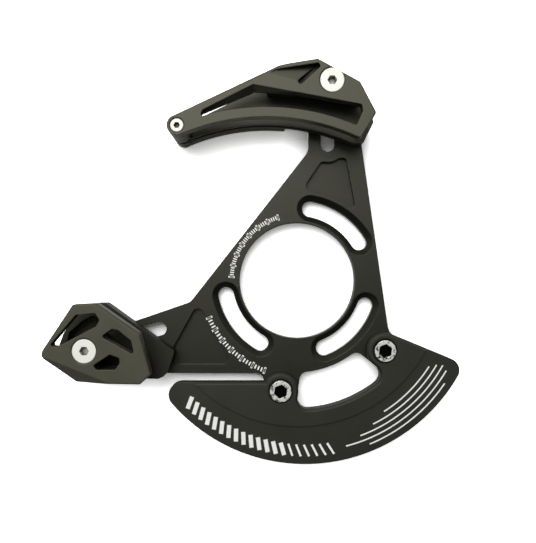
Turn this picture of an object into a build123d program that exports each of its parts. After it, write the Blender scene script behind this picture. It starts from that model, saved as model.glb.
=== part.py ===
from build123d import *

import os
from math import asin, cos, degrees, radians, sin, tan

# A bicycle chain guide for a three-bolt frame mount: a backplate, an upper and a lower chain guide
# that slide along slots in its two arms, and a bash guard bolted across its foot.
# Millimetres. The origin is the centre of the bore, on the face that meets the frame.
# X points forwards along the bicycle, Z up, and -Y outwards, away from the frame.

# Thickness of each layer, outwards from the frame
PLATE_THICKNESS = 5.0
INNER_THICKNESS = 5.4
CHANNEL_WIDTH = 7.8
OUTER_THICKNESS = 4.4

# Play between pieces
SLIDE_PLAY = 0.15
HOLE_PLAY = 0.15

# Slope of every countersink, from the axis
SINK_SLOPE = 45.0

# Frame mount: bore and three curved slots
BORE_DIAMETER = 44.4
MOUNT_RADIUS = 28.0
MOUNT_ANGLES = (55.7, 215.7, 315.7)
MOUNT_SLOT_SWEEP = 48.0
MOUNT_SLOT_WIDTH = 6.1
MOUNT_SINK_DEPTH = 2.1

# Backplate outline
ARM_END_RADIUS = 7.3
UPPER_ARM_BEND_Z = 49.5
UPPER_ARM_ROOT_Z = 56.0
RIGHT_EDGE_TOP_X = 24.0
RIGHT_FOOT_FROM_BOLT = (3.0, 2.3)
LEFT_CORNER = (-41.0, -8.3)
LOWER_ARM_ROOT = (-62.8, -15.8)
ARM_BOTTOM_ABOVE_BOLT = 5.9
MOUNT_EDGE_MARGIN = 1.2
LEFT_CORNER_RADIUS = 5.0
ARM_BEND_RADIUS = 6.0
LOBE_FILLET = 3.0
FLARE_FILLET = 5.0

# Shallow pockets in the front of the backplate
POCKET_DEPTH = 2.0
UPPER_POCKET_RADIUS = 1.4
POCKET_FOOT_RADIUS = 2.5
LOWER_POCKET_RADIUS = 2.2
POCKET_SLOT_MARGIN = 4.05
POCKET_MOUNT_MARGIN = 1.2
UPPER_POCKET = ((1.3, 33.9), (9.6, 46.2), (18.7, 47.0), (23.2, 23.0), (12.0, 30.0))
LOWER_POCKET_TOP = (-38.1, -8.5)
LOWER_POCKET_SIDES = (-24.8, -51.2)
LOWER_POCKET_STRIP = 3.3

# Clamp bolts and the slots that they slide in
BOLT_DIAMETER = 5.0
BOLT_HEAD_DIAMETER = 8.6
BOLT_HEXAGON = 3.0
BOLT_SOCKET_DEPTH = 2.4
BOLT_TIP_INSET = 0.4
HEAD_SINK = 0.25
NUT_SIDE = 8.0
NUT_THICKNESS = 2.7
NUT_INSET = 0.2
KEY_START = 4.6
KEY_LENGTH = 4.0
KEY_DEPTH = 1.6
UPPER_BOLT_X = 11.6
UPPER_BOLT_Z = 71.4
UPPER_SLOT_ABOVE = 1.5
UPPER_SLOT_BELOW = 19.4
LOWER_BOLT_X = -76.5
LOWER_BOLT_Z = -24.9
LOWER_SLOT_ANGLE = 15.0
LOWER_SLOT_BEHIND = 1.5
LOWER_SLOT_AHEAD = 24.6

# Bash guard
GUARD_THICKNESS = 5.2
GUARD_STEP = 0.7
GUARD_STEP_WIDTH = 6.1
GUARD_RIM_CENTRE = (2.7, -2.6)
GUARD_RIM_RADIUS = 66.4
GUARD_TOP_ABOVE_BOLT = 3.2
GUARD_RIGHT_SLOPE = -22.4
GUARD_LEFT_TIP_RADIUS = 4.8
GUARD_RIGHT_TIP_RADIUS = 4.5
GUARD_NECK_FILLET = 4.0
GUARD_EDGE_CHAMFER = 0.8
GUARD_BOLT_RADIUS = 41.9
GUARD_BOLT_ANGLE = 261.1
GUARD_BOLT_SPREAD = 60.0
LOBE_RADIUS = 6.7
LOBE_NECK = 6.7
GUARD_BOLT_DIAMETER = 6.0
GUARD_HEAD_DIAMETER = 8.0
GUARD_HEAD_HEIGHT = 2.6
GUARD_HEAD_RECESS = 1.6
GUARD_RECESS_DIAMETER = 9.4
GUARD_HEXAGON = 4.6
GUARD_SOCKET_DEPTH = 2.3

# Upper guide, measured from its clamp bolt
UPPER_TIP_X = -55.2
UPPER_TIP_RADIUS = 3.6
UPPER_TIP_RIM = 0.2
UPPER_CREST = ((-19.0, 5.3), (-5.1, 7.6), (9.9, -0.6), (15.7, -11.6))
UPPER_HEEL_X = 10.1
UPPER_HEEL_DROP = 0.3
UPPER_INNER_CREST = ((-19.0, 3.8), (-5.1, 6.2), (9.2, -1.4), (16.9, -11.8), (12.7, -20.1))
UPPER_INNER_TIP_RADIUS = 2.0
UPPER_ARC_TOP = (-23.4, -13.1)
UPPER_ARC_RADIUS = 78.1
UPPER_RIM_WIDTH = 3.4
UPPER_WINDOW = (
    (-46.6, -11.4), (-27.5, -3.4), (-12.0, -4.5), (10.5, -8.7), (10.9, -11.0), (7.0, -20.0), (-46.6, -20.0),
)
WINDOW_LIP = ((-12.0, -4.56), (-28.1, -1.6), (-46.3, -10.75))
WINDOW_LIP_SLOPE = 2.5
WINDOW_LIP_REACH = 1.9
UPPER_CORNER_RADIUS = 1.6
UPPER_BEVEL = ((-56.9, -13.1), (-14.0, 6.3))
UPPER_BEVEL_SLOPE = 0.9
WINDOW_CORNER_RADIUS = 0.8
WINDOW_TIP_RADIUS = 0.5
BRIDGE = ((-23.3, -1.9), (-20.6, 2.4), (-5.1, 5.2), (8.4, -2.2), (10.6, -6.2), (3.4, -3.4))
BRIDGE_BOSS_RADIUS = 3.9
RIB_HEIGHT = 4.0
RIB_END = -16.0
RIB_CLEARANCE = 0.5
RIB_END_RADIUS = 1.0
GROOVE_DEPTH = 0.8
GROOVE_WIDTH = 2.2
GROOVE_INSET = 1.2
SCOOP_START = (-22.2, 2.3)
SCOOP_END = (-11.4, -0.7)
SCOOP_CREST = ((-20.2, 3.7), (-4.6, 6.1))
SCOOP_DEPTH = 3.0
SCOOP_SLOT = ((-5.3, 4.9), (-11.2, -0.5))
SCOOP_SLOT_WIDTH = 2.0
SCOOP_SLOT_DEPTH = 3.6
TIP_BOLT_DIAMETER = 3.0
TIP_HEAD_DIAMETER = 4.7
TIP_HEXAGON = 2.0
TIP_SOCKET_DEPTH = 1.4
INSERT_DIAMETER = 4.4
INSERT_LENGTH = 5.0

# Lower guide, measured from its clamp bolt
LOWER_OUTLINE = (
    (-4.1, 16.6), (4.4, 17.0), (19.6, 6.5), (23.7, -8.4), (19.8, -11.8), (-3.8, -11.4), (-16.0, -1.5),
)
LOWER_LEFT_RADIUS = 2.9
LOWER_CORNER_RADIUS = 1.2
LOWER_FACETS = (
    ((9.3, -11.6), (-16.5, -1.2), 0.85),
    ((-16.4, -3.4), (-2.2, 17.4), 0.7),
    ((2.9, 17.1), (20.4, 5.0), 1.0),
)
EDGE_BEVEL = 0.4
EDGE_BEVEL_SLOPE = 1.0
FACET_REACH = 8.0
LOWER_INNER_OUTLINE = (
    (1.0, 16.5), (4.7, 16.5), (13.2, 10.3), (30.3, -1.6), (27.9, -8.9), (26.2, -11.0), (24.2, -11.9),
    (-2.0, -11.2), (-13.6, -1.2), (-11.2, 5.3), (-4.2, 14.6),
)
LOWER_HOLLOW = (
    (-9.9, 1.5), (-9.3, 5.4), (-4.2, 9.8), (-0.7, 11.6), (4.6, 11.8), (12.6, 7.2), (17.5, 3.4),
    (17.5, -6.8), (-3.0, -6.8), (-8.6, -2.4),
)
LOWER_HOLLOW_DEPTH = 4.0
LOWER_BOSS_RADIUS = 6.6
LOWER_CUTOUTS = (
    ((-12.3, 1.9), (-2.9, 12.9), (4.0, 13.6), (5.6, 11.0), (4.3, 8.8), (-9.6, 1.5)),
    ((6.0, 5.2), (10.0, 8.0), (12.1, 7.6), (16.8, 3.8), (17.9, -1.4)),
    ((3.2, -5.0), (9.2, -1.1), (12.5, -2.3), (12.8, -3.9), (11.2, -6.5), (4.5, -6.6)),
)
CUTOUT_CORNER_RADIUS = 0.7
LOWER_WEB = ((-2.0, -10.2), (19.2, -11.1), (22.2, -8.6), (-3.6, -8.0))
BUSH_DIAMETER = 11.0

# Places worked out from the sizes above
inner_front = PLATE_THICKNESS + INNER_THICKNESS
outer_back = inner_front + CHANNEL_WIDTH
outer_front = outer_back + OUTER_THICKNESS
slot_width = BOLT_DIAMETER + 2 * SLIDE_PLAY
rebate_width = NUT_SIDE + 2 * SLIDE_PLAY
rebate_depth = NUT_THICKNESS + NUT_INSET + HOLE_PLAY
sink_tangent = tan(radians(SINK_SLOPE))
mount_sink_width = MOUNT_SLOT_WIDTH + 2 * MOUNT_SINK_DEPTH * sink_tangent
mount_edge_radius = MOUNT_RADIUS + mount_sink_width / 2 + MOUNT_EDGE_MARGIN
lower_edge_radius = max(GUARD_BOLT_RADIUS - LOBE_NECK, mount_edge_radius)
guard_inner_radius = GUARD_BOLT_RADIUS + LOBE_NECK
guard_step_radius = guard_inner_radius + GUARD_STEP_WIDTH
plate_lobe_neck = GUARD_BOLT_RADIUS - lower_edge_radius + LOBE_RADIUS / 2
guard_lobe_neck = LOBE_NECK + LOBE_RADIUS / 2
guard_front = PLATE_THICKNESS + GUARD_THICKNESS
guard_seat = guard_front - GUARD_HEAD_RECESS
guard_left_angle = GUARD_BOLT_ANGLE
guard_right_angle = GUARD_BOLT_ANGLE + GUARD_BOLT_SPREAD
bolt_face = outer_front - HEAD_SINK
upper_arc_centre = (UPPER_ARC_TOP[0], UPPER_ARC_TOP[1] - UPPER_ARC_RADIUS)
upper_slot_top = (UPPER_BOLT_X, UPPER_BOLT_Z + UPPER_SLOT_ABOVE)
upper_slot_foot = (UPPER_BOLT_X, UPPER_BOLT_Z - UPPER_SLOT_BELOW)
FACE = Plane.XZ
UPPER = Plane(origin=(UPPER_BOLT_X, 0, UPPER_BOLT_Z), x_dir=(1, 0, 0), z_dir=(0, -1, 0))
LOWER = Plane(origin=(LOWER_BOLT_X, 0, LOWER_BOLT_Z), x_dir=(1, 0, 0), z_dir=(0, -1, 0))
LOWER_SLOT = Plane(
    origin=(LOWER_BOLT_X, 0, LOWER_BOLT_Z),
    x_dir=(cos(radians(LOWER_SLOT_ANGLE)), 0, sin(radians(LOWER_SLOT_ANGLE))),
    z_dir=(0, -1, 0),
)
UPPER_SLOT = Plane(origin=(UPPER_BOLT_X, 0, UPPER_BOLT_Z), x_dir=(0, 0, -1), z_dir=(0, -1, 0))


def polar(radius, angle):
    """A point on a circle round the bore."""
    return (radius * cos(radians(angle)), radius * sin(radians(angle)))


def arc_height(place_x):
    """Height of the upper guide's hollow arc at a place along it."""
    run = place_x - UPPER_ARC_TOP[0]
    return upper_arc_centre[1] + (UPPER_ARC_RADIUS**2 - run**2) ** 0.5


def lobe_side(angle, side):
    """The place where one side of a bolt lobe leaves the lower edge of the backplate."""
    half_angle = degrees(asin(LOBE_RADIUS / lower_edge_radius))
    return polar(lower_edge_radius, angle + side * half_angle)


def corner(sketch, place):
    """The corner of a sketch that lies nearest to a place."""
    return sketch.vertices().sort_by_distance(place)[0]


def rounded_face(points, radius):
    """A flat face with straight sides and rounded corners."""
    with BuildSketch() as face:
        with BuildLine():
            FilletPolyline(*points, radius=radius, close=True)
        make_face()
    return face.sketch


def guide_profile(crest, tip_radius):
    """Outline of an upper guide half: a faceted crest, a round tip and a hollow arc along the chain."""
    with BuildSketch() as profile:
        with BuildLine():
            CenterArc(upper_tip, tip_radius, 0, 360)
            Polyline(*crest)
        make_hull()
        with Locations(upper_arc_centre):
            Circle(UPPER_ARC_RADIUS, mode=Mode.SUBTRACT)
    return profile.sketch


def facet(face, start, end, slope, reach):
    """Cuts a facet that falls away from a line on a face, on the left of the way along the line."""
    run = Vector(*end) - Vector(*start)
    place = face.from_local_coords((*start, 0))
    across = Plane(place, x_dir=(-run.Y, 0, run.X), z_dir=(run.X, 0, run.Y))
    with BuildSketch(across) as wedge:
        with BuildLine():
            Polyline((0, 0), (reach, -slope * reach), (reach, reach), (0, reach), close=True)
        make_face()
    extrude(wedge.sketch, amount=run.length, mode=Mode.SUBTRACT)


def edge_bevels(face, places):
    """Bevels the straight edges of a face between places that follow each other clockwise."""
    for start, end in zip(places, places[1:]):
        inward = Vector(end[1] - start[1], start[0] - end[0]).normalized() * EDGE_BEVEL
        line_start = (start[0] + inward.X, start[1] + inward.Y)
        line_end = (end[0] + inward.X, end[1] + inward.Y)
        facet(face, line_start, line_end, EDGE_BEVEL_SLOPE, FACET_REACH)


def slide_slot(ahead, behind, width):
    """A slot along its plane's X, with its end centres ahead of and behind the clamp bolt."""
    with Locations(((ahead - behind) / 2, 0)):
        SlotCenterToCenter(ahead + behind, width)


def nut_rebate(ahead, behind):
    """The flat-ended recess that a square nut slides in."""
    with Locations(((ahead - behind) / 2, 0)):
        Rectangle(ahead + behind + rebate_width, rebate_width)


def key_shape():
    """The square key that holds a guide straight in its slot."""
    with Locations((KEY_START + KEY_LENGTH / 2, 0)):
        Rectangle(KEY_LENGTH, slot_width - 2 * SLIDE_PLAY)


def countersunk_bolt(face, diameter, head, length, hexagon, socket):
    """A bolt whose head lies flush in a face, with its shank behind it."""
    cone = (head - diameter) / 2 / sink_tangent
    with BuildSketch(face) as head_circle:
        Circle(head / 2)
    extrude(head_circle.sketch, amount=-cone, taper=SINK_SLOPE)
    with BuildSketch(face.offset(-cone)) as shank_circle:
        Circle(diameter / 2)
    extrude(shank_circle.sketch, amount=cone - length)
    with BuildSketch(face) as socket_shape:
        RegularPolygon(hexagon / 2, 6, major_radius=False)
    extrude(socket_shape.sketch, amount=-socket, mode=Mode.SUBTRACT)


def countersunk_hole(face, diameter, head):
    """A hole with its mouth in a face, for a countersunk bolt that lies a little below that face."""
    with Locations(face.location):
        CounterSinkHole(
            radius=diameter / 2 + HOLE_PLAY,
            counter_sink_radius=head / 2 + HOLE_PLAY + HEAD_SINK * sink_tangent,
            counter_sink_angle=2 * SINK_SLOPE,
        )


def square_nut(plane):
    """A square nut, its flat side next to the frame."""
    with BuildSketch(plane.offset(NUT_INSET)) as nut_shape:
        Rectangle(NUT_SIDE, NUT_SIDE)
        Circle(BOLT_DIAMETER / 2 + HOLE_PLAY, mode=Mode.SUBTRACT)
    extrude(nut_shape.sketch, amount=NUT_THICKNESS)


# Ends of the upper guide, which follow its arc
upper_tip = (UPPER_TIP_X, arc_height(UPPER_TIP_X) + UPPER_TIP_RADIUS + UPPER_TIP_RIM)
upper_heel = (UPPER_HEEL_X, arc_height(UPPER_HEEL_X) - UPPER_HEEL_DROP)
outer_crest = (*UPPER_CREST, upper_heel)

# Backplate: a web with two arms, two bolt lobes, a bore and three countersunk mounting slots
with BuildPart() as backplate:
    with BuildSketch(FACE) as plate_outline:
        arm_left = UPPER_BOLT_X - ARM_END_RADIUS
        left_bolt = polar(GUARD_BOLT_RADIUS, guard_left_angle)
        right_bolt = polar(GUARD_BOLT_RADIUS, guard_right_angle)
        arm_bottom = left_bolt[1] + ARM_BOTTOM_ABOVE_BOLT
        with BuildLine():
            Polyline(
                polar(lower_edge_radius, guard_right_angle),
                (right_bolt[0] + RIGHT_FOOT_FROM_BOLT[0], right_bolt[1] + RIGHT_FOOT_FROM_BOLT[1]),
                (RIGHT_EDGE_TOP_X, UPPER_ARM_ROOT_Z),
                (arm_left, UPPER_ARM_ROOT_Z),
                (arm_left, UPPER_ARM_BEND_Z),
                LEFT_CORNER,
                LOWER_ARM_ROOT,
                (LOWER_ARM_ROOT[0], arm_bottom),
                (left_bolt[0], arm_bottom),
                polar(lower_edge_radius, guard_left_angle),
            )
            CenterArc((0, 0), lower_edge_radius, guard_left_angle, GUARD_BOLT_SPREAD)
        make_face()
        with BuildLine(mode=Mode.PRIVATE) as upper_arm:
            CenterArc(upper_slot_top, ARM_END_RADIUS, 0, 360)
            Line((arm_left, UPPER_ARM_ROOT_Z), (RIGHT_EDGE_TOP_X, UPPER_ARM_ROOT_Z))
        make_hull(upper_arm.edges())
        lower_end = LOWER_SLOT.from_local_coords((-LOWER_SLOT_BEHIND, 0))
        with BuildLine(mode=Mode.PRIVATE) as lower_arm:
            CenterArc((lower_end.X, lower_end.Z), ARM_END_RADIUS, 0, 360)
            Line(LOWER_ARM_ROOT, (LOWER_ARM_ROOT[0], arm_bottom))
        make_hull(lower_arm.edges())
        with PolarLocations(GUARD_BOLT_RADIUS, 2, GUARD_BOLT_ANGLE, GUARD_BOLT_SPREAD, endpoint=True):
            Circle(LOBE_RADIUS)
            Rectangle(plate_lobe_neck, 2 * LOBE_RADIUS, align=(Align.MAX, Align.CENTER))
        fillet(corner(plate_outline, lobe_side(guard_left_angle, -1)), LOBE_FILLET)
        fillet(corner(plate_outline, lobe_side(guard_left_angle, 1)), LOBE_FILLET)
        fillet(corner(plate_outline, lobe_side(guard_right_angle, -1)), LOBE_FILLET)
        fillet(corner(plate_outline, lobe_side(guard_right_angle, 1)), FLARE_FILLET)
        fillet(corner(plate_outline, LEFT_CORNER), LEFT_CORNER_RADIUS)
        fillet(corner(plate_outline, (arm_left, UPPER_ARM_BEND_Z)), ARM_BEND_RADIUS)
    extrude(amount=PLATE_THICKNESS)
    with BuildSketch(FACE):
        Circle(BORE_DIAMETER / 2)
        with PolarLocations(GUARD_BOLT_RADIUS, 2, GUARD_BOLT_ANGLE, GUARD_BOLT_SPREAD, endpoint=True):
            Circle(GUARD_BOLT_DIAMETER / 2 + HOLE_PLAY)
    extrude(amount=PLATE_THICKNESS, mode=Mode.SUBTRACT)
    for mount_angle in MOUNT_ANGLES:
        with BuildLine(mode=Mode.PRIVATE) as mount_arc:
            CenterArc((0, 0), MOUNT_RADIUS, mount_angle - MOUNT_SLOT_SWEEP / 2, MOUNT_SLOT_SWEEP)
        with BuildSketch(FACE):
            SlotArc(mount_arc.edge(), MOUNT_SLOT_WIDTH)
        extrude(amount=PLATE_THICKNESS, mode=Mode.SUBTRACT)
        with BuildSketch(FACE.offset(PLATE_THICKNESS)):
            SlotArc(mount_arc.edge(), mount_sink_width)
        extrude(amount=-MOUNT_SINK_DEPTH, taper=SINK_SLOPE, mode=Mode.SUBTRACT)
    with BuildSketch(UPPER_SLOT):
        slide_slot(UPPER_SLOT_BELOW, UPPER_SLOT_ABOVE, slot_width)
    extrude(amount=PLATE_THICKNESS, mode=Mode.SUBTRACT)
    with BuildSketch(UPPER_SLOT):
        nut_rebate(UPPER_SLOT_BELOW, UPPER_SLOT_ABOVE)
    extrude(amount=rebate_depth, mode=Mode.SUBTRACT)
    with BuildSketch(LOWER_SLOT):
        slide_slot(LOWER_SLOT_AHEAD, LOWER_SLOT_BEHIND, slot_width)
    extrude(amount=PLATE_THICKNESS, mode=Mode.SUBTRACT)
    with BuildSketch(LOWER_SLOT):
        nut_rebate(LOWER_SLOT_AHEAD, LOWER_SLOT_BEHIND)
    extrude(amount=rebate_depth, mode=Mode.SUBTRACT)
    with BuildSketch(FACE.offset(PLATE_THICKNESS)) as upper_pocket:
        with BuildLine():
            Polyline(*UPPER_POCKET, close=True)
        make_face()
        Circle(MOUNT_RADIUS + mount_sink_width / 2 + POCKET_MOUNT_MARGIN, mode=Mode.SUBTRACT)
        with Locations(upper_slot_foot):
            Circle(slot_width / 2 + POCKET_SLOT_MARGIN, mode=Mode.SUBTRACT)
        fillet(upper_pocket.vertices().sort_by_distance(UPPER_POCKET[0])[1:], UPPER_POCKET_RADIUS)
        fillet(corner(upper_pocket, UPPER_POCKET[0]), POCKET_FOOT_RADIUS)
    extrude(amount=-POCKET_DEPTH, mode=Mode.SUBTRACT)
    with BuildSketch(FACE.offset(PLATE_THICKNESS)):
        pocket_bottom = arm_bottom + LOWER_POCKET_STRIP
        pocket_feet = [(side_x, pocket_bottom) for side_x in LOWER_POCKET_SIDES]
        add(rounded_face((LOWER_POCKET_TOP, *pocket_feet), LOWER_POCKET_RADIUS))
    extrude(amount=-POCKET_DEPTH, mode=Mode.SUBTRACT)
backplate.part.label = "backplate"

# Bash guard: a curved plate below the chainring, stepped along an arc, on two bolt lobes
with BuildPart() as bash_guard:
    with BuildSketch(FACE.offset(PLATE_THICKNESS)) as guard_outline:
        guard_top = left_bolt[1] + GUARD_TOP_ABOVE_BOLT
        slope_x = cos(radians(GUARD_RIGHT_SLOPE))
        slope_z = sin(radians(GUARD_RIGHT_SLOPE))
        slope_start = (right_bolt[0] - LOBE_RADIUS * slope_z, right_bolt[1] + LOBE_RADIUS * slope_x)
        reach = 2 * GUARD_RIM_RADIUS
        with Locations(GUARD_RIM_CENTRE):
            Circle(GUARD_RIM_RADIUS)
        with BuildLine():
            Polyline(
                (-reach, guard_top),
                (left_bolt[0], guard_top),
                right_bolt,
                slope_start,
                (slope_start[0] + reach * slope_x, slope_start[1] + reach * slope_z),
                (2 * reach, reach),
                (-reach, reach),
                close=True,
            )
        make_face(mode=Mode.SUBTRACT)
        with BuildLine():
            Line((0, 0), polar(guard_inner_radius, guard_left_angle))
            CenterArc((0, 0), guard_inner_radius, guard_left_angle, GUARD_BOLT_SPREAD)
            Line(polar(guard_inner_radius, guard_right_angle), (0, 0))
        make_face(mode=Mode.SUBTRACT)
        with PolarLocations(GUARD_BOLT_RADIUS, 2, GUARD_BOLT_ANGLE, GUARD_BOLT_SPREAD, endpoint=True):
            Circle(LOBE_RADIUS)
            Rectangle(guard_lobe_neck, 2 * LOBE_RADIUS, align=(Align.MIN, Align.CENTER))
        neck_angle = degrees(asin(LOBE_RADIUS / guard_inner_radius))
        for neck_place in (guard_left_angle + neck_angle, guard_right_angle - neck_angle):
            fillet(corner(guard_outline, polar(guard_inner_radius, neck_place)), GUARD_NECK_FILLET)
        fillet(guard_outline.vertices().sort_by(Axis.X)[0], GUARD_LEFT_TIP_RADIUS)
        fillet(guard_outline.vertices().sort_by(Axis.X)[-1], GUARD_RIGHT_TIP_RADIUS)
    extrude(amount=GUARD_THICKNESS)
    guard_face = bash_guard.faces().sort_by(Axis.Y)[0]
    chamfer(guard_face.outer_wire().edges(), GUARD_EDGE_CHAMFER)
    with BuildSketch(FACE.offset(guard_front)):
        Circle(2 * reach)
        Circle(guard_step_radius, mode=Mode.SUBTRACT)
    extrude(amount=-GUARD_STEP, mode=Mode.SUBTRACT)
    with BuildSketch(FACE.offset(guard_front)):
        with PolarLocations(GUARD_BOLT_RADIUS, 2, GUARD_BOLT_ANGLE, GUARD_BOLT_SPREAD, endpoint=True):
            Circle(GUARD_BOLT_DIAMETER / 2 + HOLE_PLAY)
    extrude(amount=-GUARD_THICKNESS, mode=Mode.SUBTRACT)
    with BuildSketch(FACE.offset(guard_front)):
        with PolarLocations(GUARD_BOLT_RADIUS, 2, GUARD_BOLT_ANGLE, GUARD_BOLT_SPREAD, endpoint=True):
            Circle(GUARD_RECESS_DIAMETER / 2)
    extrude(amount=-GUARD_HEAD_RECESS, mode=Mode.SUBTRACT)
bash_guard.part.label = "bash_guard"

# Guard bolts: two low round heads in recesses of the guard, threaded into the backplate
with BuildPart() as guard_bolts:
    with BuildSketch(FACE.offset(guard_seat)):
        with PolarLocations(GUARD_BOLT_RADIUS, 2, GUARD_BOLT_ANGLE, GUARD_BOLT_SPREAD, endpoint=True):
            Circle(GUARD_HEAD_DIAMETER / 2)
    extrude(amount=GUARD_HEAD_HEIGHT)
    with BuildSketch(FACE.offset(BOLT_TIP_INSET)):
        with PolarLocations(GUARD_BOLT_RADIUS, 2, GUARD_BOLT_ANGLE, GUARD_BOLT_SPREAD, endpoint=True):
            Circle(GUARD_BOLT_DIAMETER / 2)
    extrude(amount=guard_seat - BOLT_TIP_INSET)
    with BuildSketch(FACE.offset(guard_seat + GUARD_HEAD_HEIGHT)):
        with PolarLocations(GUARD_BOLT_RADIUS, 2, GUARD_BOLT_ANGLE, GUARD_BOLT_SPREAD, endpoint=True):
            RegularPolygon(GUARD_HEXAGON / 2, 6, major_radius=False)
    extrude(amount=-GUARD_SOCKET_DEPTH, mode=Mode.SUBTRACT)
guard_bolts.part.label = "guard_bolts"

# Upper guide, outer half: a faceted plate with a long window and a sloping scoop in its crest
with BuildPart() as upper_outer_plate:
    with BuildSketch(UPPER.offset(outer_back)) as upper_outline:
        add(guide_profile(outer_crest, UPPER_TIP_RADIUS))
        for crest_point in outer_crest:
            fillet(corner(upper_outline, crest_point), UPPER_CORNER_RADIUS)
    extrude(amount=OUTER_THICKNESS)
    edge_bevels(UPPER.offset(outer_front), outer_crest)
    facet(UPPER.offset(outer_front), *UPPER_BEVEL, UPPER_BEVEL_SLOPE, FACET_REACH)
    with BuildSketch(UPPER.offset(outer_back)) as upper_window:
        with BuildLine():
            Polyline(*UPPER_WINDOW, close=True)
        make_face()
        with Locations(upper_arc_centre):
            Circle(UPPER_ARC_RADIUS + UPPER_RIM_WIDTH, mode=Mode.SUBTRACT)
        fillet(upper_window.vertices().sort_by(Axis.X)[3:], WINDOW_CORNER_RADIUS)
        fillet(upper_window.vertices().sort_by(Axis.X)[:2], WINDOW_TIP_RADIUS)
    extrude(amount=OUTER_THICKNESS, mode=Mode.SUBTRACT)
    for lip_start, lip_end in zip(WINDOW_LIP, WINDOW_LIP[1:]):
        facet(UPPER.offset(outer_front), lip_start, lip_end, WINDOW_LIP_SLOPE, WINDOW_LIP_REACH)
    scoop_run = Vector(*SCOOP_END) - Vector(*SCOOP_START)
    scoop_across = Vector(-scoop_run.Y, scoop_run.X).normalized()
    scoop_reach = (Vector(*SCOOP_CREST[1]) - Vector(*SCOOP_START)).dot(scoop_across)
    scoop_origin = UPPER.offset(outer_front).from_local_coords((*SCOOP_START, 0))
    scoop_floor = Plane(
        origin=scoop_origin,
        x_dir=(scoop_run.X, 0, scoop_run.Y),
        z_dir=(scoop_across.X * SCOOP_DEPTH, -scoop_reach, scoop_across.Y * SCOOP_DEPTH),
    )
    floor_stretch = (scoop_reach**2 + SCOOP_DEPTH**2) ** 0.5 / scoop_reach
    with BuildSketch(scoop_floor):
        with BuildLine():
            floor_points = []
            for place in (SCOOP_START, *SCOOP_CREST, SCOOP_END):
                step = Vector(*place) - Vector(*SCOOP_START)
                along = step.dot(scoop_run.normalized())
                floor_points.append((along, step.dot(scoop_across) * floor_stretch))
            Polyline(*floor_points, close=True)
        make_face()
    extrude(amount=2 * OUTER_THICKNESS, dir=(0, -1, 0), mode=Mode.SUBTRACT)
    with BuildLine(mode=Mode.PRIVATE) as scoop_slot_line:
        Line(*SCOOP_SLOT)
    with BuildSketch(UPPER.offset(outer_front)):
        SlotArc(scoop_slot_line.edge(), SCOOP_SLOT_WIDTH)
    extrude(amount=-SCOOP_SLOT_DEPTH, mode=Mode.SUBTRACT)
    countersunk_hole(UPPER.offset(outer_front), BOLT_DIAMETER, BOLT_HEAD_DIAMETER)
    tip_centre = UPPER.offset(bolt_face).from_local_coords((*upper_tip, 0))
    tip_face = Plane(tip_centre, x_dir=(1, 0, 0), z_dir=(0, -1, 0))
    countersunk_hole(tip_face.offset(HEAD_SINK), TIP_BOLT_DIAMETER, TIP_HEAD_DIAMETER)
upper_outer_plate.part.label = "upper_outer_plate"

# Upper guide, inner half: a plate with a bridge over the chain, a rib behind and a key in the slot
with BuildPart() as upper_inner_plate:
    with BuildSketch(UPPER.offset(PLATE_THICKNESS)) as inner_outline:
        add(guide_profile(UPPER_INNER_CREST, UPPER_INNER_TIP_RADIUS))
        for crest_point in UPPER_INNER_CREST:
            fillet(corner(inner_outline, crest_point), UPPER_CORNER_RADIUS)
        with Locations(upper_tip):
            Circle(UPPER_TIP_RADIUS)
    extrude(amount=INNER_THICKNESS)
    with BuildSketch(UPPER.offset(inner_front)):
        with BuildLine():
            Polyline(*BRIDGE, close=True)
        make_face()
        Circle(BRIDGE_BOSS_RADIUS)
    extrude(amount=CHANNEL_WIDTH)
    with BuildSketch(UPPER.offset(RIB_CLEARANCE)) as rib_outline:
        with Locations(upper_arc_centre):
            Circle(UPPER_ARC_RADIUS + RIB_HEIGHT)
            Circle(UPPER_ARC_RADIUS, mode=Mode.SUBTRACT)
        with Locations(((UPPER_TIP_X + RIB_END) / 2, 0)):
            Rectangle(RIB_END - UPPER_TIP_X, 2 * UPPER_ARC_RADIUS, mode=Mode.INTERSECT)
        with Locations(upper_arc_centre):
            Rectangle(
                4 * UPPER_ARC_RADIUS,
                2 * UPPER_ARC_RADIUS,
                align=(Align.CENTER, Align.MIN),
                mode=Mode.INTERSECT,
            )
        fillet(rib_outline.vertices().sort_by(Axis.X)[-2:], RIB_END_RADIUS)
        with Locations(upper_tip):
            Circle(UPPER_TIP_RADIUS)
    extrude(amount=PLATE_THICKNESS - RIB_CLEARANCE)
    with BuildSketch(UPPER.offset(inner_front - GROOVE_INSET)):
        with Locations(upper_arc_centre):
            Circle(UPPER_ARC_RADIUS + GROOVE_DEPTH)
    extrude(amount=-GROOVE_WIDTH, mode=Mode.SUBTRACT)
    with BuildSketch(UPPER_SLOT.offset(PLATE_THICKNESS - KEY_DEPTH)):
        key_shape()
    extrude(amount=KEY_DEPTH)
    with BuildSketch(UPPER.offset(outer_back)):
        Circle(BOLT_DIAMETER / 2 + HOLE_PLAY)
        with Locations(upper_tip):
            Circle(TIP_BOLT_DIAMETER / 2 + HOLE_PLAY)
    extrude(amount=-outer_back, mode=Mode.SUBTRACT)
    with BuildSketch(UPPER.offset(RIB_CLEARANCE)):
        with Locations(upper_tip):
            Circle(INSERT_DIAMETER / 2 + HOLE_PLAY)
    extrude(amount=INSERT_LENGTH, mode=Mode.SUBTRACT)
upper_inner_plate.part.label = "upper_inner_plate"

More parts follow.
